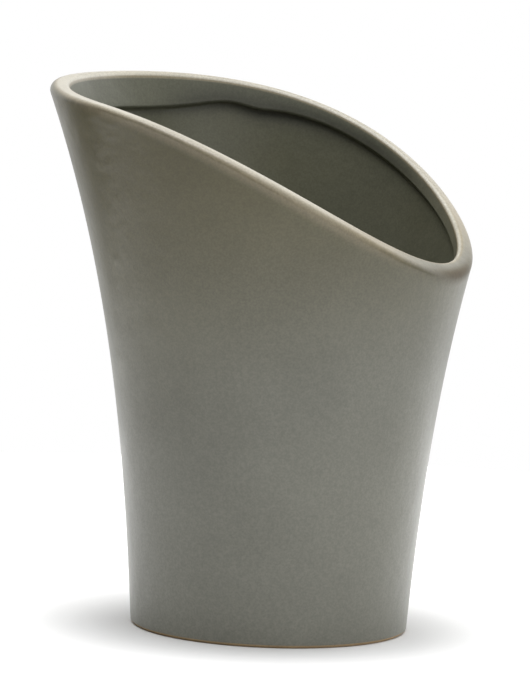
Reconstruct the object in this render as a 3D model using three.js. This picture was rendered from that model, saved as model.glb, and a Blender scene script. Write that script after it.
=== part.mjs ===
// Vase with a round flared body and a swooping mouth that is high on one side and low on the other.
// Millimetres, +Z up. The mouth is high towards -X and low towards +X.
// The origin is the middle of the bounding box, on the surface that the foot rests on.

import * as THREE from "three";

// Body, over the glaze
const HEIGHT_HIGH = 180;
const HEIGHT_LOW = 122.5;
const FOOT_RADIUS = 46;
const FOOT_SLOPE = 0.067; // radius gained per millimetre of height at the foot
const MOUTH_RADIUS = 80.2; // at the high side of the mouth
const MOUTH_SLOPE = 0.381; // radius gained per millimetre of height at the high side of the mouth

// Mouth line in the side view, in millimetres of drop per millimetre towards the low side
const FALL_SLOPE_HIGH = 0.019;
const FALL_SLOPE_LOW = 0.94;

// Lip at the high and at the low side: its width over the glaze, level across the wall, and its edge rounds
const LIP_HIGH = 6.9;
const LIP_LOW = 6.2;
const OUTER_ROUND_HIGH = 3.1;
const OUTER_ROUND_LOW = 2.8;
const INNER_ROUND_HIGH = 2.4;
const INNER_ROUND_LOW = 1.4;

// Front stretch of the lip, trimmed by hand: its line dips and its outer edge is sharper
const DIP = 1.4;
const DIP_AT_DEG = 222; // round from the low side
const DIP_WIDTH_DEG = 22;
const SHARPER = 1.8; // taken off the outer round
const SHARPER_AT_DEG = 245;
const SHARPER_WIDTH_DEG = 38;

// Wall under the lip, and the bead of drained slip on its inside, which is as wide as the lip
const WALL = 5; // with its glaze, even all round
const BEAD_FALL = 1; // from the bead's edge down its underside to the wall
const BEAD_ROUND = 0.85;
const BEAD_HOLLOW = 1; // radius of the hollow between the underside and the wall
const BAND_HIGH = 11.7; // drop of the bead's lower edge below the lip at the high side
const BAND_LOW = 5.6; // and at the low side
const BAND_WIDENS_FROM_DEG = 95; // round from the low side
const BAND_WIDENS_TO_DEG = 158;
const RUN_UP = 1.4; // where the wet slip drew up as it drained
const RUN_UP_AT_DEG = 128;
const RUN_UP_WIDTH_DEG = 9;
const RUN_DOWN = 0.8; // where it ran down
const RUN_DOWN_AT_DEG = 119;
const RUN_DOWN_WIDTH_DEG = 5;

// Floor and foot
const FLOOR_TOP = 8; // over the glaze
const FLOOR_ROUND = 10;
const FOOT_RING = 9; // width of the flat ring that the vase rests on
const FOOT_BEVEL = 0.4;
const FOOT_RECESS = 2.5;
const FOOT_RECESS_EDGE = 3;

// Glaze
const GLAZE = 0.5;
const GLAZE_LINE = 1; // height of the bare clay left under the glaze

// Facets
const COLUMNS = 54;
const WALL_STEPS = 8;
const OUTER_ROUND_STEPS = 4;
const INNER_ROUND_STEPS = 3;
const BAND_STEPS = 2;
const BEAD_STEPS = 2;
const HOLLOW_STEPS = 2;
const INSIDE_STEPS = 8;
const FLOOR_ROUND_STEPS = 4;

// A cubic from one end value and slope to another
function blend(u, length, start, startSlope, end, endSlope) {
  const rise = u * u * (3 - 2 * u);
  const leave = u * (1 - u) * (1 - u);
  const arrive = u * u * (1 - u);
  return start + (end - start) * rise + length * (startSlope * leave - endSlope * arrive);
}

function outerRadius(z) {
  return blend(z / HEIGHT_HIGH, HEIGHT_HIGH, FOOT_RADIUS, FOOT_SLOPE, MOUTH_RADIUS, MOUTH_SLOPE);
}

const X_HIGH = -outerRadius(HEIGHT_HIGH);
const X_LOW = outerRadius(HEIGHT_LOW);

function mouthHeight(x) {
  const length = X_LOW - X_HIGH;
  return blend((x - X_HIGH) / length, length, HEIGHT_HIGH, -FALL_SLOPE_HIGH, HEIGHT_LOW, -FALL_SLOPE_LOW);
}

// Height at which a wall, set in from the outer radius, meets the mouth line on one side of the body
function meetMouth(angle, inset) {
  const dip = DIP * swell(THREE.MathUtils.radToDeg(angle), DIP_AT_DEG, DIP_WIDTH_DEG);
  let z = (HEIGHT_HIGH + HEIGHT_LOW) / 2;
  for (let pass = 0; pass < 40; pass += 1) {
    z = mouthHeight((outerRadius(z) - inset) * Math.cos(angle)) - dip;
  }
  return z;
}

function betweenSides(angle, low, high) {
  return THREE.MathUtils.lerp(low, high, (1 - Math.cos(angle)) / 2);
}

function swell(degrees, at, width) {
  return Math.exp(-(((degrees - at) / width) ** 2));
}

function bandDrop(angle) {
  const degrees = THREE.MathUtils.radToDeg(angle);
  const round = degrees > 180 ? 360 - degrees : degrees;
  const widen = THREE.MathUtils.smoothstep(round, BAND_WIDENS_FROM_DEG, BAND_WIDENS_TO_DEG);
  const up = RUN_UP * swell(degrees, RUN_UP_AT_DEG, RUN_UP_WIDTH_DEG);
  const down = RUN_DOWN * swell(degrees, RUN_DOWN_AT_DEG, RUN_DOWN_WIDTH_DEG);
  return BAND_LOW + (BAND_HIGH - BAND_LOW) * widen - up + down;
}

function point(r, z) {
  return new THREE.Vector2(r, z);
}

// Points of a round that replaces the corner between two straight edges
function roundCorner(before, corner, after, radius, steps) {
  const back = before.clone().sub(corner).normalize();
  const on = after.clone().sub(corner).normalize();
  const half = Math.acos(THREE.MathUtils.clamp(back.dot(on), -1, 1)) / 2;
  const reach = radius / Math.tan(half);
  const middle = back.clone().add(on).normalize().multiplyScalar(radius / Math.sin(half)).add(corner);
  const first = back.multiplyScalar(reach).add(corner).sub(middle);
  const last = on.multiplyScalar(reach).add(corner).sub(middle);
  const turn = Math.atan2(first.cross(last), first.dot(last));
  const points = [];
  for (let step = 0; step <= steps; step += 1) {
    const spoke = first.clone().rotateAround(point(0, 0), (turn * step) / steps);
    points.push(spoke.add(middle));
  }
  return points;
}

// Outline of the glazed surface on one side, from the glaze line up, over the lip and down to the floor
function glazedOutline(angle) {
  const lip = betweenSides(angle, LIP_LOW, LIP_HIGH);
  const sharper = SHARPER * swell(THREE.MathUtils.radToDeg(angle), SHARPER_AT_DEG, SHARPER_WIDTH_DEG);
  const outerEdge = betweenSides(angle, OUTER_ROUND_LOW, OUTER_ROUND_HIGH) - sharper;
  const innerEdge = betweenSides(angle, INNER_ROUND_LOW, INNER_ROUND_HIGH);
  const inside = (z, inset) => point(outerRadius(z) - inset, z);

  const outerTop = meetMouth(angle, 0);
  const innerTop = meetMouth(angle, lip);
  const bandFoot = innerTop - bandDrop(angle);
  const outerCorner = inside(outerTop, 0);
  const innerCorner = inside(innerTop, lip);
  const beadCorner = inside(bandFoot, lip);
  const hollowCorner = inside(bandFoot - BEAD_FALL, WALL);
  const floorCorner = inside(FLOOR_TOP, WALL);

  const below = inside(outerTop - outerEdge, 0);
  const outerRound = roundCorner(below, outerCorner, innerCorner, outerEdge, OUTER_ROUND_STEPS);
  const innerRound = roundCorner(outerCorner, innerCorner, beadCorner, innerEdge, INNER_ROUND_STEPS);
  const beadRound = roundCorner(innerCorner, beadCorner, hollowCorner, BEAD_ROUND, BEAD_STEPS);
  const drop = inside(hollowCorner.y - BEAD_HOLLOW, WALL);
  const hollow = roundCorner(beadCorner, hollowCorner, drop, BEAD_HOLLOW, HOLLOW_STEPS);
  const rise = inside(FLOOR_TOP + FLOOR_ROUND, WALL);
  const floorRound = roundCorner(rise, floorCorner, point(0, FLOOR_TOP), FLOOR_ROUND, FLOOR_ROUND_STEPS);

  const coat = [];
  for (let step = 0; step < WALL_STEPS; step += 1) {
    const z = THREE.MathUtils.lerp(GLAZE_LINE, outerRound[0].y, step / WALL_STEPS);
    coat.push(inside(z, 0));
  }
  coat.push(...outerRound, ...innerRound);
  for (let step = 1; step < BAND_STEPS; step += 1) {
    coat.push(innerRound[INNER_ROUND_STEPS].clone().lerp(beadRound[0], step / BAND_STEPS));
  }
  coat.push(...beadRound);

  const liner = [...hollow];
  for (let step = 1; step < INSIDE_STEPS; step += 1) {
    const z = THREE.MathUtils.lerp(hollow[HOLLOW_STEPS].y, floorRound[0].y, step / INSIDE_STEPS);
    liner.push(inside(z, WALL));
  }
  liner.push(...floorRound);
  return { coat, liner };
}

// The clay's surface, one glaze thickness under the glazed outline
function underGlaze(outline) {
  return outline.map((here, index) => {
    const before = outline[Math.max(index - 1, 0)];
    const after = outline[index + 1] ?? point(0, here.y);
    const into = index === 0 ? after.clone().sub(here) : here.clone().sub(before);
    const away = after.clone().sub(here);
    const normalIn = point(into.y, -into.x).normalize();
    const normalOut = point(away.y, -away.x).normalize();
    const bisector = normalIn.clone().add(normalOut).normalize();
    return bisector.multiplyScalar(-GLAZE / bisector.dot(normalOut)).add(here);
  });
}

const angles = Array.from({ length: COLUMNS }, (unused, column) => (column * 2 * Math.PI) / COLUMNS);
const glazed = angles.map(glazedOutline);
const coatCount = glazed[0].coat.length;
const glazedLines = glazed.map(({ coat, liner }) => [...coat, ...liner]);
const clayLines = glazedLines.map(underGlaze);
const footLine = [
  point(0, FOOT_RECESS),
  point(FOOT_RADIUS - FOOT_RING - FOOT_RECESS_EDGE, FOOT_RECESS),
  point(FOOT_RADIUS - FOOT_RING, 0),
  point(outerRadius(0) - GLAZE - FOOT_BEVEL, 0),
  point(outerRadius(FOOT_BEVEL) - GLAZE, FOOT_BEVEL),
];

const reach = glazedLines.flatMap((line, column) => line.map(({ x }) => x * Math.cos(angles[column])));
const axisX = -(Math.max(...reach) + Math.min(...reach)) / 2;

// A closed solid from one outline per side; back marks the edges that lie on a coat's clay side
function solid(name, material, outlines, back) {
  const positions = [];
  const faces = [];
  const count = outlines[0].length;
  const onAxis = (index) => outlines[0][index].x < 1e-6;
  const rows = [];
  for (let index = 0; index < count; index += 1) {
    const columns = onAxis(index) ? 1 : COLUMNS;
    const start = positions.length / 3;
    for (let column = 0; column < columns; column += 1) {
      const { x: r, y: z } = outlines[column][index];
      positions.push(axisX + r * Math.cos(angles[column]), r * Math.sin(angles[column]), z);
    }
    rows.push((column) => start + (column % columns));
  }
  for (let index = 0; index < count; index += 1) {
    const next = (index + 1) % count;
    if (onAxis(index) && onAxis(next)) {
      continue;
    }
    for (let column = 0; column < COLUMNS; column += 1) {
      const a = rows[index](column);
      const b = rows[index](column + 1);
      const c = rows[next](column + 1);
      const d = rows[next](column);
      const pair = back(index) ? [[a, b, d], [b, c, d]] : [[a, b, c], [a, c, d]];
      for (const face of pair) {
        if (new Set(face).size === 3) {
          faces.push(...face);
        }
      }
    }
  }
  const geometry = new THREE.BufferGeometry();
  geometry.setAttribute("position", new THREE.Float32BufferAttribute(positions, 3));
  geometry.setIndex(faces);
  geometry.computeVertexNormals();
  const mesh = new THREE.Mesh(geometry, material);
  mesh.name = name;
  return mesh;
}

const bareClay = new THREE.MeshStandardMaterial({ color: 0xc9b08c, roughness: 0.85, metalness: 0 });
const satinGlaze = new THREE.MeshStandardMaterial({ color: 0x9b9a8d, roughness: 0.45, metalness: 0 });
const linerGlaze = new THREE.MeshStandardMaterial({ color: 0x8f8f82, roughness: 0.4, metalness: 0 });

const clayOutlines = clayLines.map((line) => [...footLine, ...line, point(0, FLOOR_TOP - GLAZE)]);

const coatOutlines = glazedLines.map((line, column) => [
  ...line.slice(0, coatCount),
  ...clayLines[column].slice(0, coatCount).reverse(),
]);

const linerOutlines = glazedLines.map((line, column) => [
  point(0, FLOOR_TOP - GLAZE),
  ...clayLines[column].slice(coatCount - 1).reverse(),
  ...line.slice(coatCount - 1),
  point(0, FLOOR_TOP),
]);
const linerBack = linerOutlines[0].length / 2;

const vase = new THREE.Group();
vase.name = "vase";
vase.add(solid("clay_body", bareClay, clayOutlines, () => false));
vase.add(solid("outer_glaze", satinGlaze, coatOutlines, (index) => index >= coatCount));
vase.add(solid("liner_glaze", linerGlaze, linerOutlines, (index) => index < linerBack));

export default vase;
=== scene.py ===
"""Cast vase with a swooping mouth: clay body, satin outer glaze and liner glaze, on a white stage."""

import math

import bpy
from bpy.props import FloatProperty, FloatVectorProperty, IntProperty, PointerProperty
from mathutils import Matrix, Vector


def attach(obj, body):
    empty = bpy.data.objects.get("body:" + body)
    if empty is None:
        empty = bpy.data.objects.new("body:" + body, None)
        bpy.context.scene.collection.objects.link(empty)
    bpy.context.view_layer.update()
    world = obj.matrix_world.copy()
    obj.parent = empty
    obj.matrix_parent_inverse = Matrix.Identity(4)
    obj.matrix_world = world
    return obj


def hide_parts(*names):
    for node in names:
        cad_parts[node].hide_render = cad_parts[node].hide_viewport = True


bl_info = {
    "name": "Swooping Vase",
    "version": (1, 0, 0),
    "blender": (4, 5, 0),
    "location": "3D View > Sidebar > Vase",
    "description": "Builds a cast vase with a swooping mouth, its glaze coats and a plain studio stage",
    "category": "Add Mesh",
}

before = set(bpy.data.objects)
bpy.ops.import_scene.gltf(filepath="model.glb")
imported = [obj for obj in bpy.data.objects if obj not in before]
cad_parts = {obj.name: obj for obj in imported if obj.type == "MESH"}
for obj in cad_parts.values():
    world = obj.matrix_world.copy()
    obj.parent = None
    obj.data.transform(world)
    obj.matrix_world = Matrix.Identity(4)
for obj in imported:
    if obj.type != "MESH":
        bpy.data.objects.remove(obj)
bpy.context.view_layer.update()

BODY = "root"
PHOTO_WIDTH = 530
PHOTO_HEIGHT = 689

# Heights that differ by less are level, and radii that are less lie on the axis, in metres
LEVEL = 1e-5
ON_AXIS = 1e-9

# Rounds of the search for the height at which a wall meets the mouth line
MEET_ROUNDS = 30

# Angle from which an edge is drawn sharp
SHARP_ANGLE = math.radians(50)

# Share of the lip's inner round at which the glaze is palest, at the low and at the high side
CREST_LOW = 0.55
CREST_HIGH = 0.75

# Share of the lip's outer round, back from its upper end, at which the brown line is darkest
DARKENED_AT = 0.4

# Painted shade of the band at the low side, where 1 is its shade at the high side
SHADE_LOW = 0.5

# Shares of the way down the band between which the run glaze and its painted shade deepen
RUN_STARTS = -0.2
RUN_FULL = 0.6

# Amount of breaking and painted highlight at which the thin tone is full, and from which the pale tone
# shows
THIN_FULL = 0.5
PALE_FROM = 0.4

# Patterns of the glaze and the clay: noise cells in a metre, detail and roughness
CLOUDS = (26, 3, 0.55)
MOTTLE = (620, 4, 0.6)
SPECKS = (1500, 1, 0.4)
RIPPLES = (120, 2, 0.5)
WARM_PLACES = (14, 2, 0.5)
CLAY_PATCHES = (90, 4, 0.6)
CLAY_GRIT = (1400, 3, 0.6)

# How a pattern becomes an amount: its values from and to, and the amounts there
PATTERN = (0.3, 0.7, 0, 1)
WARM_SPECKS = (0.80, 0.86, 0, 0.35)
UNEVEN_GLOSS = (0.2, 0.8, -0.04, 0.05)
LINER_WARMTH = (0.4, 0.8, 0, 0.3)
DARK_PATCHES = (0.35, 0.75, 0, 0.35)
DARK_GRIT = (0.58, 0.72, 0, 0.6)
CLAY_ROUGHNESS = (0.2, 0.8, 0.78, 0.95)

# Share of the tone that is left where a pattern of the glaze is full
CLOUDS_LEAVE = 0.90
MOTTLE_LEAVE = 0.90
SPECKS_LEAVE = 0.86

# Heights of the bumps of each pattern, in metres
RIPPLE_HEIGHT = 0.00022
MOTTLE_HEIGHT = 0.00003
PATCH_HEIGHT = 0.0002
GRIT_HEIGHT = 0.00012

# Sockets of a colour mix: the amount, the two colours and the result
MIX_AMOUNT = 0
MIX_FIRST = 6
MIX_SECOND = 7
MIX_RESULT = 2

# Direction of each soft light in degrees: round from the camera towards the right, and up
LIGHTS = {
    "top_light": (0, 90),
    "right_light": (135, 12),
    "back_light": (200, 12),
    "left_light": (225, 12),
    "front_light": (45, 12),
}

# Cosines of the angles from the middle of a soft light at which it starts and is full
LIGHT_FROM = 0.75
LIGHT_FULL = 1

# Direction of the white backdrop that shows in the gloss, and the same cosines for it
BACKDROP = (180, 0)
BACKDROP_FROM = 0.80
BACKDROP_FULL = 0.92

FLOOR_SIDES = 96


def foot_centre_x():
    """Place of the body's axis: the middle of the lowest ring of the clay."""
    points = [vertex.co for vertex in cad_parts["clay_body"].data.vertices]
    lowest = min(point.z for point in points)
    ring = [point.x for point in points if point.z < lowest + LEVEL]
    return (min(ring) + max(ring)) / 2


def number(name, description, default, **options):
    return FloatProperty(name=name, description=description, default=default, **options)


def length(name, description, default):
    return number(name, description, default, unit="LENGTH", precision=4)


def slope(name, description, default):
    return number(name, description, default, precision=3)


def share(name, description, default):
    return number(name, description, default, min=0, max=1, subtype="FACTOR")


def strength(name, description, default):
    return number(name, description, default, min=0)


def angle(name, description, degrees):
    return number(name, description, math.radians(degrees), subtype="ANGLE")


def pixels(name, default):
    return number(name, "In pixels of the photograph", default)


def colour(name, description, tone):
    options = {"size": 4, "min": 0, "max": 1, "subtype": "COLOR"}
    return FloatVectorProperty(name=name, description=description, default=(*tone, 1), **options)


def count(name, description, default, least):
    return IntProperty(name=name, description=description, default=default, min=least)


class VaseSizes(bpy.types.PropertyGroup):
    """Sizes of the vase over its glaze, the same as those of the solids."""

    axis_x: length("Axis", "Place of the body's axis along X", foot_centre_x())
    height_high: length("High Side", "Height of the mouth line at its high side", 0.180)
    height_low: length("Low Side", "Height of the mouth line at its low side", 0.1225)
    foot_radius: length("Foot Radius", "Radius of the body at the foot", 0.046)
    foot_flare: slope("Foot Flare", "Radius gained per unit of height at the foot", 0.067)
    mouth_radius: length("Mouth Radius", "Radius of the body at the high side of the mouth", 0.0802)
    mouth_flare: slope("Mouth Flare", "Radius gained per unit of height at the high side", 0.381)
    fall_high: slope("High Fall", "Drop of the mouth line at its high side", 0.019)
    fall_low: slope("Low Fall", "Drop of the mouth line at its low side", 0.94)
    lip_high: length("High Lip", "Width of the lip at the high side", 0.0069)
    lip_low: length("Low Lip", "Width of the lip at the low side", 0.0062)
    outer_round_high: length("High Outer Round", "Radius of the lip's outer edge, high side", 0.0031)
    outer_round_low: length("Low Outer Round", "Radius of the lip's outer edge, low side", 0.0028)
    inner_round_high: length("High Inner Round", "Radius of the lip's inner edge, high side", 0.0024)
    inner_round_low: length("Low Inner Round", "Radius of the lip's inner edge, low side", 0.0014)
    dip: length("Dip", "Drop of the mouth line where the front of the lip was trimmed", 0.0014)
    dip_at: angle("Dip At", "Angle of that place", 222)
    dip_width: angle("Dip Width", "Width of that place", 22)
    sharper: length("Sharper", "Taken off the outer round where the lip was trimmed", 0.0018)
    sharper_at: angle("Sharper At", "Angle of that place", 245)
    sharper_width: angle("Sharper Width", "Width of that place", 38)
    wall: length("Wall", "Thickness of the wall under the lip, with its glaze", 0.005)
    bead_fall: length("Bead Fall", "Height of the bead's underside, from its edge to the wall", 0.001)
    bead_round: length("Bead Round", "Radius of the bead's edge", 0.00085)
    bead_hollow: length("Bead Hollow", "Radius of the hollow between the underside and the wall", 0.001)
    band_high: length("High Band", "Drop of the bead's edge below the lip at the high side", 0.0117)
    band_low: length("Low Band", "Drop of the bead's edge below the lip at the low side", 0.0056)
    band_widens_from: angle("Band Widens From", "Angle from the low side where the band widens", 95)
    band_widens_to: angle("Band Widens To", "Angle from the low side where the band is widest", 158)
    run_up: length("Run Up", "Height of the place where the wet slip drew up", 0.0014)
    run_up_at: angle("Run Up At", "Angle of that place", 128)
    run_up_width: angle("Run Up Width", "Width of that place", 9)
    run_down: length("Run Down", "Depth of the place where the wet slip ran down", 0.0008)
    run_down_at: angle("Run Down At", "Angle of that place", 119)
    run_down_width: angle("Run Down Width", "Width of that place", 5)
    floor_top: length("Floor", "Height of the inner floor", 0.008)
    floor_round: length("Floor Round", "Radius between the floor and the wall", 0.010)
    foot_ring: length("Foot Ring", "Width of the ring that the vase rests on", 0.009)
    foot_bevel: length("Foot Bevel", "Bevel at the foot's outer edge", 0.0004)
    foot_recess: length("Recess", "Depth of the recess under the floor", 0.0025)
    foot_recess_edge: length("Recess Edge", "Width of the slope into the recess", 0.003)
    glaze: length("Glaze", "Thickness of the glaze", 0.0005)
    glaze_line: length("Glaze Line", "Height of the bare clay left under the glaze", 0.001)


class VaseFinish(bpy.types.PropertyGroup):
    """Colours and finish of the glaze and the clay."""

    glaze: colour("Glaze", "Grey-green satin glaze", (0.256, 0.255, 0.209))
    glaze_high: colour("High Glaze", "Warmer glaze towards the high side", (0.250, 0.239, 0.168))
    # Warmer glaze near the mouth, and painted shade there, where the flaring wall faces down; also the
    # colour of warm specks and warm places
    glaze_warm_and_shade: colour("Warm Glaze", "Glaze near the mouth, thin over the clay", (0.144, 0.124, 0.046))
    # Thin and pale glaze over the lip: a glaze break, with a painted highlight along the lip's inner
    # edge and painted light over its outer round
    glaze_thin: colour("Thin Glaze", "Glaze that starts to break", (0.437, 0.377, 0.257))
    glaze_pale: colour("Pale Glaze", "Glaze where it breaks over an edge", (0.72, 0.679, 0.562))
    # Darker brown line along the low lip's outer edge
    darkened: colour("Worn Edge", "Glaze worn brown on the low lip's outer edge", (0.12, 0.09, 0.048))
    # Band and liner are the same glaze, darker as painted shade inside the vase; the lighter copies
    # have less painted shade at the low side, where the mouth is lowest
    band: colour("Band", "Glaze of the band between the lip and the bead", (0.178, 0.181, 0.129))
    band_less_shaded: colour("Light Band", "Glaze of the band at the low side", (0.27, 0.262, 0.19))
    liner: colour("Liner", "Glaze inside the vase", (0.153, 0.155, 0.107))
    liner_less_shaded: colour("Light Liner", "Glaze inside towards the low side", (0.208, 0.208, 0.151))
    # Pooled glaze under the bead, with painted shadow under its overhang and painted shade down the
    # band towards it
    pool: colour("Pool", "Glaze that has run and pooled under the bead", (0.05, 0.05, 0.036))
    clay: colour("Clay", "Bare fired clay", (0.50, 0.36, 0.21))
    clay_dark: colour("Clay Grit", "Grit and handling marks in the clay", (0.30, 0.20, 0.11))
    roughness: share("Roughness", "Roughness of the glaze", 0.32)
    roughness_inside: share("Roughness Inside", "Roughness of the glaze in the band", 0.5)
    roughness_dull: share("Dull Roughness", "Roughness of the pooled and the worn glaze", 0.7)
    lean: slope("Lean", "How much further down the warmer glaze reaches at the high side", 0.65)
    lean_from: length("Lean From", "Height on the axis where the glaze starts to be warmer", 0.05)
    lean_to: length("Lean To", "Height on the axis where it is the warmer glaze", 0.16)
    # From here up the glaze is warmer, and darker with painted shade
    warm_shade_from: share("Warm From", "Share of the height from which the glaze thins to the mouth", 0.45)
    break_high: share("High Break", "Paleness over the lip towards the high side", 0.8)
    break_low: share("Low Break", "Paleness over the lip at the low side", 0.05)
    break_from: angle("Break From", "Angle from the low side where the lip starts to be paler", 10)
    break_to: angle("Break To", "Angle from the low side where the lip is palest", 70)
    crest_high: length("High Crest", "Width of the palest line at the high side", 0.0008)
    crest_low: length("Low Crest", "Width of the palest line at the low side", 0.001)
    edge_high: length("High Edge", "Width over which the pale glaze ends at the high side", 0.0009)
    edge_low: length("Low Edge", "Width over which the pale glaze ends at the low side", 0.0042)
    # The tail is painted light over the lip's outer round
    painted_light_tail: length("Edge Tail", "Width over which the last of the pale glaze ends", 0.003)
    painted_light_tail_share: share("Edge Tail Share", "Share of the pale glaze that ends there", 0.07)
    darkened_width: length("Worn Width", "Half of the width of the worn edge", 0.0025)
    darkened_reach: angle("Worn Reach", "How far round from the low side it reaches", 18)
    # Pooled glaze and painted shadow under the bead
    pool_drop: length("Pool Drop", "Drop of the deepest pooled glaze below the bead's edge", 0.0016)
    pool_depth: length("Pool Depth", "How far the pooled glaze reaches from there", 0.0022)
    pool_at: angle("Pool At", "Angle from the low side where most glaze has pooled", 114)
    pool_width: angle("Pool Width", "Width of that place", 22)
    # Glaze run down the band, and painted shade towards and under the bead's edge
    run: share("Run", "Depth of the glaze that has run down the band", 0.4)
    run_gathered: share("Run Gathered", "Depth added where it gathered at the bead's edge", 0.25)
    run_edge: length("Run Edge", "Width of that edge", 0.0015)
    run_low_from: angle("Run Low From", "Angle from the low side up to which none has run", 50)
    run_low_to: angle("Run Low To", "Angle from the low side where all of it has run", 85)
    run_high_from: angle("Run High From", "Angle from the low side up to which all has run", 135)
    run_high_to: angle("Run High To", "Angle from the low side where none has run again", 155)


class VaseDetail(bpy.types.PropertyGroup):
    """How finely the surfaces are divided."""

    columns: count("Columns", "Divisions round the body", 240, 24)
    wall_steps: count("Wall Steps", "Divisions up the outside, and down the inside", 48, 4)
    round_steps: count("Round Steps", "Divisions of each round", 8, 2)
    lip_steps: count("Lip Steps", "Divisions of the flat of the lip", 3, 1)
    band_steps: count("Band Steps", "Divisions of the band and of the inner floor", 10, 1)


class VaseStage(bpy.types.PropertyGroup):
    """Camera, soft lights and floor."""

    azimuth: angle("Azimuth", "Direction of the camera, round from the front", 20.195)
    elevation: angle("Elevation", "Height of the camera above the horizon", 6.826)
    roll: angle("Roll", "Lean of the camera", 2.205)
    distance: length("Distance", "Distance of the camera from the vase", 1.92)
    aim_height: length("Aim", "Height of the point that the camera turns about", 0.095)
    focal_pixels: pixels("Focal Length", 5783.5)
    shift_right: pixels("Shift Right", 13.99)
    shift_up: pixels("Shift Up", 2.11)
    top_light: strength("Top Light", "Light from straight above", 4.5)
    right_light: strength("Right Light", "Light from behind on the right", 2.0)
    back_light: strength("Back Light", "Light from behind", 0.7)
    left_light: strength("Left Light", "Light from behind on the left", 0.55)
    front_light: strength("Front Light", "Light from the front on the right", 0.9)
    floor: colour("Floor", "Pale floor", (0.86, 0.86, 0.86))
    floor_radius: length("Floor Radius", "Radius of the floor around the vase", 0.40)
    floor_near: length("Floor Near", "Distance from the axis where the floor starts to whiten", 0.045)
    floor_far: length("Floor Far", "Distance from the axis where it is as white as the backdrop", 0.10)
    floor_white: strength("Floor White", "White that the floor is given there", 0.45)


def blend(low, high, amount):
    return low + (high - low) * amount


def cubic(along, span, start, start_slope, end, end_slope):
    """A cubic from one end value and slope to another, at a share of the way along."""
    rise = along * along * (3 - 2 * along)
    leave = along * (1 - along) ** 2
    arrive = along * along * (1 - along)
    return blend(start, end, rise) + span * (start_slope * leave - end_slope * arrive)


def smooth(value, start, end):
    """0 up to the start, 1 from the end, and an even rise between them."""
    along = min(max((value - start) / (end - start), 0), 1)
    return along * along * (3 - 2 * along)


def swell(value, centre, width):
    """1 at the centre, falling away evenly on both sides."""
    return math.exp(-(((value - centre) / width) ** 2))


def outer_radius(s, z):
    """Radius of the outside at one height."""
    along = z / s.height_high
    return cubic(along, s.height_high, s.foot_radius, s.foot_flare, s.mouth_radius, s.mouth_flare)


def mouth_height(s, x):
    """Height of the mouth line at one place across the vase."""
    x_high = -outer_radius(s, s.height_high)
    span = outer_radius(s, s.height_low) - x_high
    return cubic((x - x_high) / span, span, s.height_high, -s.fall_high, s.height_low, -s.fall_low)


def meet_mouth(s, turn, inset):
    """Height at which a wall, set in from the outer radius, meets the mouth line on one side."""
    dip = s.dip * swell(turn, s.dip_at, s.dip_width)
    z = (s.height_high + s.height_low) / 2
    for _ in range(MEET_ROUNDS):
        z = mouth_height(s, (outer_radius(s, z) - inset) * math.cos(turn)) - dip
    return z


def between_sides(turn, low, high):
    """A value that changes evenly across the vase from the low to the high side."""
    return blend(low, high, (1 - math.cos(turn)) / 2)


def from_low_side(turn):
    return min(turn, math.tau - turn)


def band_drop(s, turn):
    """Drop of the bead's edge below the lip, with the wave where the wet slip moved."""
    widen = smooth(from_low_side(turn), s.band_widens_from, s.band_widens_to)
    up = s.run_up * swell(turn, s.run_up_at, s.run_up_width)
    down = s.run_down * swell(turn, s.run_down_at, s.run_down_width)
    return blend(s.band_low, s.band_high, widen) - up + down


def between(first, last, steps):
    """Points on the straight line between two points, without its ends."""
    return [first.lerp(last, step / steps) for step in range(1, steps)]


def round_corner(before, corner, after, radius, steps):
    """Points of a round that replaces the corner between two straight edges."""
    back = (before - corner).normalized()
    on = (after - corner).normalized()
    half = back.angle(on) / 2
    middle = corner + (back + on).normalized() * (radius / math.sin(half))
    first = corner + back * (radius / math.tan(half)) - middle
    last = corner + on * (radius / math.tan(half)) - middle
    turn = math.atan2(first.cross(last), first.dot(last))
    return [middle + Matrix.Rotation(turn * step / steps, 2) @ first for step in range(steps + 1)]


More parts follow.
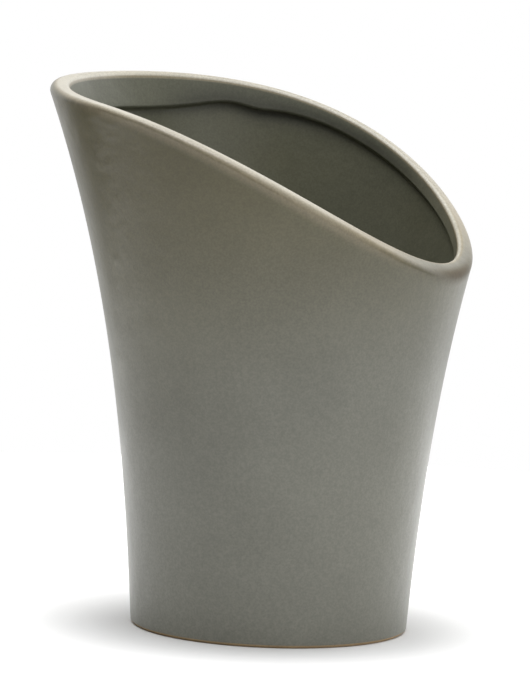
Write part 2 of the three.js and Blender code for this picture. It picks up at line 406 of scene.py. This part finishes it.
def glazed_outline(s, detail, turn):
    """Outline of the glazed surface on one side: the outer coat over the lip, then the liner.

    With it come the points of the coat where the brown line on the lip's edge is darkest, where its
    outer round ends, where the glaze is palest (between two points) and where the band starts.
    """
    lip = between_sides(turn, s.lip_low, s.lip_high)
    sharper = s.sharper * swell(turn, s.sharper_at, s.sharper_width)
    outer_edge = between_sides(turn, s.outer_round_low, s.outer_round_high) - sharper
    inner_edge = between_sides(turn, s.inner_round_low, s.inner_round_high)
    steps = detail.round_steps

    def inside(z, inset):
        return Vector((outer_radius(s, z) - inset, z))

    outer_top = meet_mouth(s, turn, 0)
    inner_top = meet_mouth(s, turn, lip)
    band_foot = inner_top - band_drop(s, turn)
    outer_corner = inside(outer_top, 0)
    inner_corner = inside(inner_top, lip)
    bead_corner = inside(band_foot, lip)
    hollow_corner = inside(band_foot - s.bead_fall, s.wall)
    floor_corner = inside(s.floor_top, s.wall)
    floor_middle = Vector((0, s.floor_top))

    below = inside(outer_top - outer_edge, 0)
    outer_round = round_corner(below, outer_corner, inner_corner, outer_edge, steps)
    inner_round = round_corner(outer_corner, inner_corner, bead_corner, inner_edge, steps)
    bead_round = round_corner(inner_corner, bead_corner, hollow_corner, s.bead_round, steps)
    drop = inside(hollow_corner.y - s.bead_hollow, s.wall)
    hollow = round_corner(bead_corner, hollow_corner, drop, s.bead_hollow, steps)
    rise = inside(s.floor_top + s.floor_round, s.wall)
    floor_round = round_corner(rise, floor_corner, floor_middle, s.floor_round, steps)

    climb = (outer_round[0].y - s.glaze_line) / detail.wall_steps
    coat = [inside(s.glaze_line + climb * step, 0) for step in range(detail.wall_steps)]
    top = len(coat) + steps
    edge = top - round(steps * DARKENED_AT)
    coat += outer_round + between(outer_round[-1], inner_round[0], detail.lip_steps)
    crest = len(coat) + steps * between_sides(turn, CREST_LOW, CREST_HIGH)
    coat += inner_round
    band = len(coat)
    coat += between(inner_round[-1], bead_round[0], detail.band_steps) + bead_round

    fall = (hollow[-1].y - floor_round[0].y) / detail.wall_steps
    wall = [inside(hollow[-1].y - fall * step, s.wall) for step in range(1, detail.wall_steps)]
    floor = floor_round + between(floor_round[-1], floor_middle, detail.band_steps)
    liner = hollow + wall + floor
    return {"coat": coat, "liner": liner, "edge": edge, "top": top, "crest": crest, "band": band}


def under_glaze(line, thickness):
    """The clay's surface, one glaze thickness under the glazed outline."""
    clay = []
    for index, here in enumerate(line):
        after = line[index + 1] if index + 1 < len(line) else Vector((0, here.y))
        before = line[index - 1] if index else here * 2 - after
        into = (here - before).normalized()
        away = (after - here).normalized()
        normal_out = Vector((away.y, -away.x))
        bisector = (Vector((into.y, -into.x)) + normal_out).normalized()
        clay.append(here - bisector * (thickness / bisector.dot(normal_out)))
    return clay


def foot_outline(s):
    """Underside of the clay, from the axis out to the glaze line."""
    ring = s.foot_radius - s.foot_ring
    return [
        Vector((0, s.foot_recess)),
        Vector((ring - s.foot_recess_edge, s.foot_recess)),
        Vector((ring - s.foot_recess_edge / 3, s.foot_recess / 4)),
        Vector((ring, 0)),
        Vector((s.foot_radius - s.glaze - s.foot_bevel, 0)),
        Vector((outer_radius(s, s.foot_bevel) - s.glaze, s.foot_bevel)),
    ]


def all_round(detail):
    return [math.tau * column / detail.columns for column in range(detail.columns)]


def outlines_all_round(s, detail):
    return [glazed_outline(s, detail, turn) for turn in all_round(detail)]


def glaze_break_highlight(outline, turn, finish):
    """How pale the glaze is at each point: a glaze break over the lip, with a painted highlight along
    its inner edge and painted light over its outer round.
    """
    coat = outline["coat"]
    before = math.floor(outline["crest"])
    crest = coat[before].lerp(coat[before + 1], outline["crest"] - before)
    top = coat[outline["top"]]
    pale = smooth(from_low_side(turn), finish.break_from, finish.break_to)
    over_lip = blend(finish.break_low, finish.break_high, pale)
    edge = blend(finish.edge_low, finish.edge_high, between_sides(turn, 0, 1) ** 2)
    crest_width = between_sides(turn, finish.crest_low, finish.crest_high)
    amounts = []
    for index, point in enumerate(coat):
        line = swell((point - crest).length, 0, crest_width)
        away = (point - top).length
        if index < outline["top"]:
            # The tail is painted light over the lip's outer round; the crest line is partly a painted
            # highlight
            painted_light = swell(away, 0, finish.painted_light_tail)
            lip = blend(swell(away, 0, edge), painted_light, finish.painted_light_tail_share)
        elif index < outline["crest"]:
            lip = 1
        else:
            lip = line
        amounts.append(blend(line, lip, over_lip))
    return amounts


def glaze_darkened(outline, turn, finish):
    """How dark and brown each point is: a line on the lip's outer edge, at the low side."""
    coat = outline["coat"]
    edge = coat[outline["edge"]]
    amount = swell(from_low_side(turn), 0, finish.darkened_reach)
    return [amount * swell((point - edge).length, 0, finish.darkened_width) for point in coat]


def away_from_low_side(turn, finish):
    """How much of the band's painted shade and run glaze a side takes: 0 round the low side and 1 away
    from it.
    """
    return smooth(from_low_side(turn), finish.run_low_from, finish.run_low_to)


def glaze_inside_shade(outline, turn, finish):
    """How much painted shade the coat has: 0 outside, 1 inside the mouth, and less at the low side."""
    shade = blend(SHADE_LOW, 1, away_from_low_side(turn, finish))
    return [shade if index >= outline["band"] else 0 for index in range(len(outline["coat"]))]


def glaze_run_shade(outline, turn, finish):
    """How much glaze has run down to each point of the band, with painted shade towards and under the
    bead's edge; none at the low and high sides.
    """
    coat = outline["coat"]
    first = outline["band"]
    drop = (coat[-1] - coat[first]).length
    high = smooth(from_low_side(turn), finish.run_high_from, finish.run_high_to)
    ran = away_from_low_side(turn, finish) * (1 - high)
    amounts = [0] * first
    for point in coat[first:]:
        left = (coat[-1] - point).length
        down = finish.run * smooth(1 - left / drop, RUN_STARTS, RUN_FULL)
        gathered = finish.run_gathered * swell(left, finish.run_edge, finish.run_edge)
        amounts.append(ran * (down + gathered) * (1 - swell(left, 0, finish.run_edge / 2)))
    return amounts


def glaze_pool_shade(line, turn, finish):
    """How much glaze has pooled at each point of the liner, with painted shadow, most right under the
    bead.
    """
    amount = swell(from_low_side(turn), finish.pool_at, finish.pool_width)
    return [amount * swell(line[0].y - point.y, finish.pool_drop, finish.pool_depth) for point in line]


# Marks that colour the outer coat, with what works each of them out
COAT_MARKS = {
    "glaze_break_highlight": glaze_break_highlight,
    "glaze_darkened": glaze_darkened,
    "glaze_inside_shade": glaze_inside_shade,
    "glaze_run_shade": glaze_run_shade,
}


def revolved_piece(name, s, detail, lines, marks=None):
    """A closed piece from one outline per side, which may end on the axis.

    Marks are named values, one for each point of each outline.
    """
    turns = all_round(detail)
    vertices = []
    values = {mark: [] for mark in marks or ()}
    rows = []
    for index in range(len(lines[0])):
        on_axis = lines[0][index].x < ON_AXIS
        row = []
        for column, turn in enumerate(turns[:1] if on_axis else turns):
            radius, z = lines[column][index]
            row.append(len(vertices))
            vertices.append((s.axis_x + radius * math.cos(turn), radius * math.sin(turn), z))
            for mark, amounts in values.items():
                amounts.append(marks[mark][column][index])
        rows.append(row)
    faces = []
    for index, row in enumerate(rows):
        following = rows[(index + 1) % len(rows)]
        if len(row) == len(following) == 1:
            continue
        for column in range(len(turns)):
            beside = column + 1
            corners = []
            for ring, place in ((row, column), (row, beside), (following, beside), (following, column)):
                corner = ring[place % len(ring)]
                if corner not in corners:
                    corners.append(corner)
            faces.append(corners)
    mesh = bpy.data.meshes.new(name)
    mesh.from_pydata(vertices, [], faces)
    mesh.shade_smooth()
    mesh.set_sharp_from_angle(angle=SHARP_ANGLE)
    for mark, amounts in values.items():
        mesh.attributes.new(mark, "FLOAT", "POINT").data.foreach_set("value", amounts)
    piece = bpy.data.objects.new(name, mesh)
    bpy.context.scene.collection.objects.link(piece)
    return piece


def dress(piece, node, material):
    """Give a piece its material, hang it on its body, and hide the solid of the node it stands in for.
    """
    piece.data.materials.append(material)
    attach(piece, BODY)
    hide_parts(node)


def grey(value):
    return (value, value, value, 1)


class Nodes:
    """Short calls for the nodes of one tree."""

    def __init__(self, tree, coordinates):
        self.tree = tree
        self.place = self.add("ShaderNodeTexCoord").outputs[coordinates]

    def add(self, kind, **values):
        node = self.tree.nodes.new(kind)
        for key, value in values.items():
            setattr(node, key, value)
        return node

    def link(self, source, target):
        self.tree.links.new(source, target)

    def noise(self, scale, detail, roughness):
        node = self.add("ShaderNodeTexNoise")
        node.inputs["Scale"].default_value = scale
        node.inputs["Detail"].default_value = detail
        node.inputs["Roughness"].default_value = roughness
        self.link(self.place, node.inputs["Vector"])
        return node.outputs["Fac"]

    def mark(self, name):
        return self.add("ShaderNodeAttribute", attribute_name=name).outputs["Fac"]

    def along(self, axis):
        node = self.add("ShaderNodeSeparateXYZ")
        self.link(self.place, node.inputs["Vector"])
        return node.outputs[axis]

    def measure(self, operation, vector):
        """The place against a fixed vector: DOT_PRODUCT or DISTANCE."""
        node = self.add("ShaderNodeVectorMath", operation=operation)
        self.link(self.place, node.inputs[0])
        node.inputs[1].default_value = vector
        return node.outputs["Value"]

    def combine(self, operation, one, other):
        """Two values put together: ADD or MULTIPLY."""
        node = self.add("ShaderNodeMath", operation=operation)
        self.link(one, node.inputs[0])
        self.link(other, node.inputs[1])
        return node.outputs["Value"]

    def spread(self, source, low, high, to_low=0, to_high=1):
        """A smooth change from one amount to another while the source goes from low to high."""
        node = self.add("ShaderNodeMapRange", interpolation_type="SMOOTHSTEP")
        limits = {"From Min": low, "From Max": high, "To Min": to_low, "To Max": to_high}
        for key, value in limits.items():
            node.inputs[key].default_value = value
        self.link(source, node.inputs["Value"])
        return node.outputs["Result"]

    def mix(self, amount, first, second, blend_type="MIX"):
        node = self.add("ShaderNodeMix", data_type="RGBA", blend_type=blend_type)
        for socket, value in ((MIX_AMOUNT, amount), (MIX_FIRST, first), (MIX_SECOND, second)):
            if isinstance(value, bpy.types.NodeSocket):
                self.link(value, node.inputs[socket])
            else:
                node.inputs[socket].default_value = value
        return node.outputs[MIX_RESULT]

    def shiny_rays(self, rays):
        return self.combine("ADD", rays["Is Glossy Ray"], rays["Is Transmission Ray"])


class MaterialNodes(Nodes):
    """Short calls for the nodes of one material."""

    def __init__(self, name):
        self.material = bpy.data.materials.new(name)
        self.material.use_nodes = True
        super().__init__(self.material.node_tree, "Object")
        self.shader = self.tree.nodes["Principled BSDF"]

    def feed(self, source, socket):
        self.link(source, self.shader.inputs[socket])

    def bump(self, heights):
        """Bumps from (height, distance in metres) pairs, one over the other."""
        normal = None
        for height, distance in heights:
            node = self.add("ShaderNodeBump")
            node.inputs["Distance"].default_value = distance
            self.link(height, node.inputs["Height"])
            if normal:
                self.link(normal, node.inputs["Normal"])
            normal = node.outputs["Normal"]
        self.feed(normal, "Normal")


def satin_finish(n, finish, tone, roughness):
    """The grain of the glaze over its tone: clouds, fine mottle, specks and a slightly uneven gloss."""
    clouds = n.noise(*CLOUDS)
    mottle = n.noise(*MOTTLE)
    specks = n.noise(*SPECKS)
    for pattern, leave in ((clouds, CLOUDS_LEAVE), (mottle, MOTTLE_LEAVE), (specks, SPECKS_LEAVE)):
        darker = n.mix(1, tone, grey(leave), "MULTIPLY")
        tone = n.mix(n.spread(pattern, *PATTERN), tone, darker)
    tone = n.mix(n.spread(specks, *WARM_SPECKS), tone, finish.glaze_warm_and_shade)
    n.feed(tone, "Base Color")
    n.feed(n.combine("ADD", n.spread(clouds, *UNEVEN_GLOSS), roughness), "Roughness")
    n.bump([(n.noise(*RIPPLES), RIPPLE_HEIGHT), (mottle, MOTTLE_HEIGHT)])


def outer_material(s, finish):
    """Outer glaze: warmer towards the mouth with painted shade there, pale where it breaks over the lip
    with a painted highlight and painted light, and painted shade inside the mouth and under the bead.
    """
    n = MaterialNodes("satin_glaze")
    leaning = n.measure("DOT_PRODUCT", (-finish.lean, 0, 1))
    high = n.spread(leaning, finish.lean_from, finish.lean_to)
    tone = n.mix(high, finish.glaze, finish.glaze_high)
    # Warmer towards the mouth, and darker there as painted shade where the flaring wall faces down
    warmer_and_shaded = n.spread(n.along("Z"), s.height_high * finish.warm_shade_from, s.height_high)
    tone = n.mix(warmer_and_shaded, tone, finish.glaze_warm_and_shade)
    # Painted shade inside the mouth, less at the low side
    inside_shade = n.mark("glaze_inside_shade")
    tone = n.mix(n.spread(inside_shade, 0, SHADE_LOW), tone, finish.band_less_shaded)
    tone = n.mix(n.spread(inside_shade, SHADE_LOW, 1), tone, finish.band)
    # Glaze run down the band, and painted shade towards and under the bead's edge
    tone = n.mix(n.mark("glaze_run_shade"), tone, finish.pool)
    # Glaze break over the lip, with a painted highlight along its inner edge and painted light over its
    # outer round
    break_highlight = n.mark("glaze_break_highlight")
    tone = n.mix(n.spread(break_highlight, 0, THIN_FULL), tone, finish.glaze_thin)
    tone = n.mix(n.spread(break_highlight, PALE_FROM, 1), tone, finish.glaze_pale)
    # Darker brown line along the low lip's outer edge
    darkened = n.mark("glaze_darkened")
    tone = n.mix(darkened, tone, finish.darkened)
    inside = n.spread(inside_shade, 0, 1, finish.roughness, finish.roughness_inside)
    duller = n.spread(darkened, 0, 1, 0, finish.roughness_dull - finish.roughness)
    satin_finish(n, finish, tone, n.combine("ADD", inside, duller))
    return n.material


def liner_material(s, finish):
    """Liner glaze: the same glaze, darker inside the vase as painted shade and lighter towards the low
    side as painted light, with pooled glaze and painted shadow under the bead and a little warmth in
    places.
    """
    n = MaterialNodes("liner_glaze")
    # Painted light: lighter towards the low side, where the mouth is lowest
    light = n.spread(n.along("X"), -s.mouth_radius, s.mouth_radius)
    tone = n.mix(light, finish.liner, finish.liner_less_shaded)
    tone = n.mix(n.spread(n.noise(*WARM_PLACES), *LINER_WARMTH), tone, finish.glaze_warm_and_shade)
    # Pooled glaze and painted shadow under the bead
    pooled = n.mark("glaze_pool_shade")
    tone = n.mix(pooled, tone, finish.pool)
    satin_finish(n, finish, tone, n.spread(pooled, 0, 1, finish.roughness, finish.roughness_dull))
    return n.material


def clay_material(finish):
    """Bare fired clay: warm tan with grit, darker patches and a dry, slightly open surface."""
    n = MaterialNodes("bare_clay")
    patches = n.noise(*CLAY_PATCHES)
    grit = n.noise(*CLAY_GRIT)
    tone = n.mix(n.spread(patches, *DARK_PATCHES), finish.clay, finish.clay_dark)
    tone = n.mix(n.spread(grit, *DARK_GRIT), tone, finish.clay_dark)
    n.feed(tone, "Base Color")
    n.feed(n.spread(grit, *CLAY_ROUGHNESS), "Roughness")
    n.bump([(patches, PATCH_HEIGHT), (grit, GRIT_HEIGHT)])
    return n.material


class VASE_OT_clay_body(bpy.types.Operator):
    """Build the fired clay casting, with its foot ring and the recess under it"""

    bl_idname = "vase.clay_body"
    bl_label = "Clay Body"

    def execute(self, context):
        s = context.scene.vase_sizes
        detail = context.scene.vase_detail
        finish = context.scene.vase_finish
        lines = []
        for outline in outlines_all_round(s, detail):
            clay = under_glaze(outline["coat"] + outline["liner"], s.glaze)
            lines.append(foot_outline(s) + clay + [Vector((0, s.floor_top - s.glaze))])
        piece = revolved_piece("clay_casting", s, detail, lines)
        dress(piece, "clay_body", clay_material(finish))
        return {"FINISHED"}


class VASE_OT_outer_glaze(bpy.types.Operator):
    """Build the outer glaze coat, from the glaze line over the lip to the drained bead"""

    bl_idname = "vase.outer_glaze"
    bl_label = "Outer Glaze"

    def execute(self, context):
        s = context.scene.vase_sizes
        detail = context.scene.vase_detail
        finish = context.scene.vase_finish
        lines = []
        marks = {name: [] for name in COAT_MARKS}
        for turn, outline in zip(all_round(detail), outlines_all_round(s, detail)):
            coat = outline["coat"]
            clay = under_glaze(coat + outline["liner"], s.glaze)[:len(coat)]
            lines.append(coat + clay[::-1])
            for name, amounts_of in COAT_MARKS.items():
                amounts = amounts_of(outline, turn, finish)
                marks[name].append(amounts + amounts[::-1])
        piece = revolved_piece("outer_coat", s, detail, lines, marks)
        dress(piece, "outer_glaze", outer_material(s, finish))
        return {"FINISHED"}


class VASE_OT_liner_glaze(bpy.types.Operator):
    """Build the liner glaze coat, from under the bead down over the floor"""

    bl_idname = "vase.liner_glaze"
    bl_label = "Liner Glaze"

    def execute(self, context):
        s = context.scene.vase_sizes
        detail = context.scene.vase_detail
        finish = context.scene.vase_finish
        top = Vector((0, s.floor_top))
        under = Vector((0, s.floor_top - s.glaze))
        lines = []
        marks = {"glaze_pool_shade": []}
        for turn, outline in zip(all_round(detail), outlines_all_round(s, detail)):
            start = len(outline["coat"]) - 1
            glazed = outline["coat"] + outline["liner"]
            clay = under_glaze(glazed, s.glaze)[start:]
            lines.append([under] + clay[::-1] + glazed[start:] + [top])
            pooled = glaze_pool_shade(glazed[start:], turn, finish)
            marks["glaze_pool_shade"].append([0] + pooled[::-1] + pooled + [0])
        piece = revolved_piece("liner_coat", s, detail, lines, marks)
        dress(piece, "liner_glaze", liner_material(s, finish))
        return {"FINISHED"}


def direction(turn, lift):
    """Direction at a turn from the front towards the right, lifted above the horizon."""
    return Vector((math.sin(turn) * math.cos(lift), -math.cos(turn) * math.cos(lift), math.sin(lift)))


def white_world(stage):
    """Soft white lights all round; the eye and the gloss see a plain white backdrop behind the vase."""
    world = bpy.data.worlds.new("studio")
    world.use_nodes = True
    n = Nodes(world.node_tree, "Generated")

    def soft_patch(place, start, full, amount):
        turn, lift = (math.radians(degrees) for degrees in place)
        facing = n.measure("DOT_PRODUCT", direction(stage.azimuth + turn, lift))
        return n.spread(facing, start, full, 0, amount)

    total = None
    for name, place in LIGHTS.items():
        patch = soft_patch(place, LIGHT_FROM, LIGHT_FULL, getattr(stage, name))
        total = n.combine("ADD", total, patch) if total else patch
    light = n.tree.nodes["Background"]
    light.inputs["Color"].default_value = grey(1)
    n.link(total, light.inputs["Strength"])

    plain = n.add("ShaderNodeBackground")
    plain.inputs["Color"].default_value = grey(1)
    rays = n.add("ShaderNodeLightPath").outputs
    behind = soft_patch(BACKDROP, BACKDROP_FROM, BACKDROP_FULL, 1)
    in_gloss = n.combine("MULTIPLY", n.shiny_rays(rays), behind)
    seen = n.combine("ADD", rays["Is Camera Ray"], in_gloss)
    mix = n.add("ShaderNodeMixShader")
    n.link(seen, mix.inputs["Fac"])
    n.link(light.outputs["Background"], mix.inputs[1])
    n.link(plain.outputs["Background"], mix.inputs[2])
    n.link(mix.outputs["Shader"], n.tree.nodes["World Output"].inputs["Surface"])
    bpy.context.scene.world = world


def pale_floor(stage, centre_x):
    """White floor around the vase that keeps its shadow and runs into the white backdrop."""
    radius = stage.floor_radius
    rim = []
    for side in range(FLOOR_SIDES):
        turn = math.tau * side / FLOOR_SIDES
        rim.append((centre_x + radius * math.cos(turn), radius * math.sin(turn), 0))
    mesh = bpy.data.meshes.new("floor")
    mesh.from_pydata(rim, [], [list(range(FLOOR_SIDES))])
    floor = bpy.data.objects.new("floor", mesh)
    bpy.context.scene.collection.objects.link(floor)

    n = MaterialNodes("pale_floor")
    n.shader.inputs["Base Color"].default_value = stage.floor
    n.shader.inputs["Roughness"].default_value = 1
    n.shader.inputs["Specular IOR Level"].default_value = 0
    n.shader.inputs["Emission Color"].default_value = grey(1)
    away = n.measure("DISTANCE", (centre_x, 0, 0))
    glow = n.spread(away, stage.floor_near, stage.floor_far, 0, stage.floor_white)
    rays = n.add("ShaderNodeLightPath").outputs
    seen = n.combine("ADD", rays["Is Camera Ray"], n.shiny_rays(rays))
    n.feed(n.combine("MULTIPLY", glow, seen), "Emission Strength")
    mesh.materials.append(n.material)


def photo_camera(stage, aim):
    """Camera at the photograph's angle, long lens, with the small lean and shift of its framing."""
    back = direction(stage.azimuth, stage.elevation)
    level = Vector((0, 0, 1)).cross(back).normalized()
    upright = back.cross(level)
    right = level * math.cos(stage.roll) + upright * math.sin(stage.roll)
    up = upright * math.cos(stage.roll) - level * math.sin(stage.roll)
    data = bpy.data.cameras.new("camera")
    longest = max(PHOTO_WIDTH, PHOTO_HEIGHT)
    data.lens = stage.focal_pixels / longest * data.sensor_width
    data.shift_x = -stage.shift_right / longest
    data.shift_y = -stage.shift_up / longest
    camera = bpy.data.objects.new("camera", data)
    turned = Matrix((right, up, back)).transposed().to_4x4()
    camera.matrix_world = Matrix.Translation(aim + back * stage.distance) @ turned
    bpy.context.scene.collection.objects.link(camera)
    bpy.context.scene.camera = camera


class VASE_OT_stage(bpy.types.Operator):
    """Set the white floor, the backdrop with its soft lights and the camera"""

    bl_idname = "vase.stage"
    bl_label = "Stage"

    def execute(self, context):
        stage = context.scene.vase_stage
        centre_x = context.scene.vase_sizes.axis_x
        context.scene.view_settings.view_transform = "Standard"
        white_world(stage)
        pale_floor(stage, centre_x)
        photo_camera(stage, Vector((centre_x, 0, stage.aim_height)))
        return {"FINISHED"}


class VASE_PT_panel(bpy.types.Panel):
    """Sizes and steps of the vase"""

    bl_label = "Swooping Vase"
    bl_idname = "VASE_PT_panel"
    bl_space_type = "VIEW_3D"
    bl_region_type = "UI"
    bl_category = "Vase"

    def draw(self, context):
        layout = self.layout
        for step in STEPS:
            layout.operator(step.bl_idname)
        for group in GROUPS:
            box = layout.box()
            settings = getattr(context.scene, group)
            for name in settings.bl_rna.properties.keys():
                if name not in ("rna_type", "name"):
                    box.prop(settings, name)


GROUPS = {
    "vase_sizes": VaseSizes,
    "vase_finish": VaseFinish,
    "vase_detail": VaseDetail,
    "vase_stage": VaseStage,
}
STEPS = (VASE_OT_clay_body, VASE_OT_outer_glaze, VASE_OT_liner_glaze, VASE_OT_stage)
CLASSES = (*GROUPS.values(), *STEPS, VASE_PT_panel)


def register():
    for cls in CLASSES:
        bpy.utils.register_class(cls)
    for name, group in GROUPS.items():
        setattr(bpy.types.Scene, name, PointerProperty(type=group))


def unregister():
    for name in GROUPS:
        delattr(bpy.types.Scene, name)
    for cls in reversed(CLASSES):
        bpy.utils.unregister_class(cls)


def main():
    register()
    bpy.ops.vase.clay_body()
    bpy.ops.vase.outer_glaze()
    bpy.ops.vase.liner_glaze()
    bpy.ops.vase.stage()


if __name__ == "__main__":
    main()
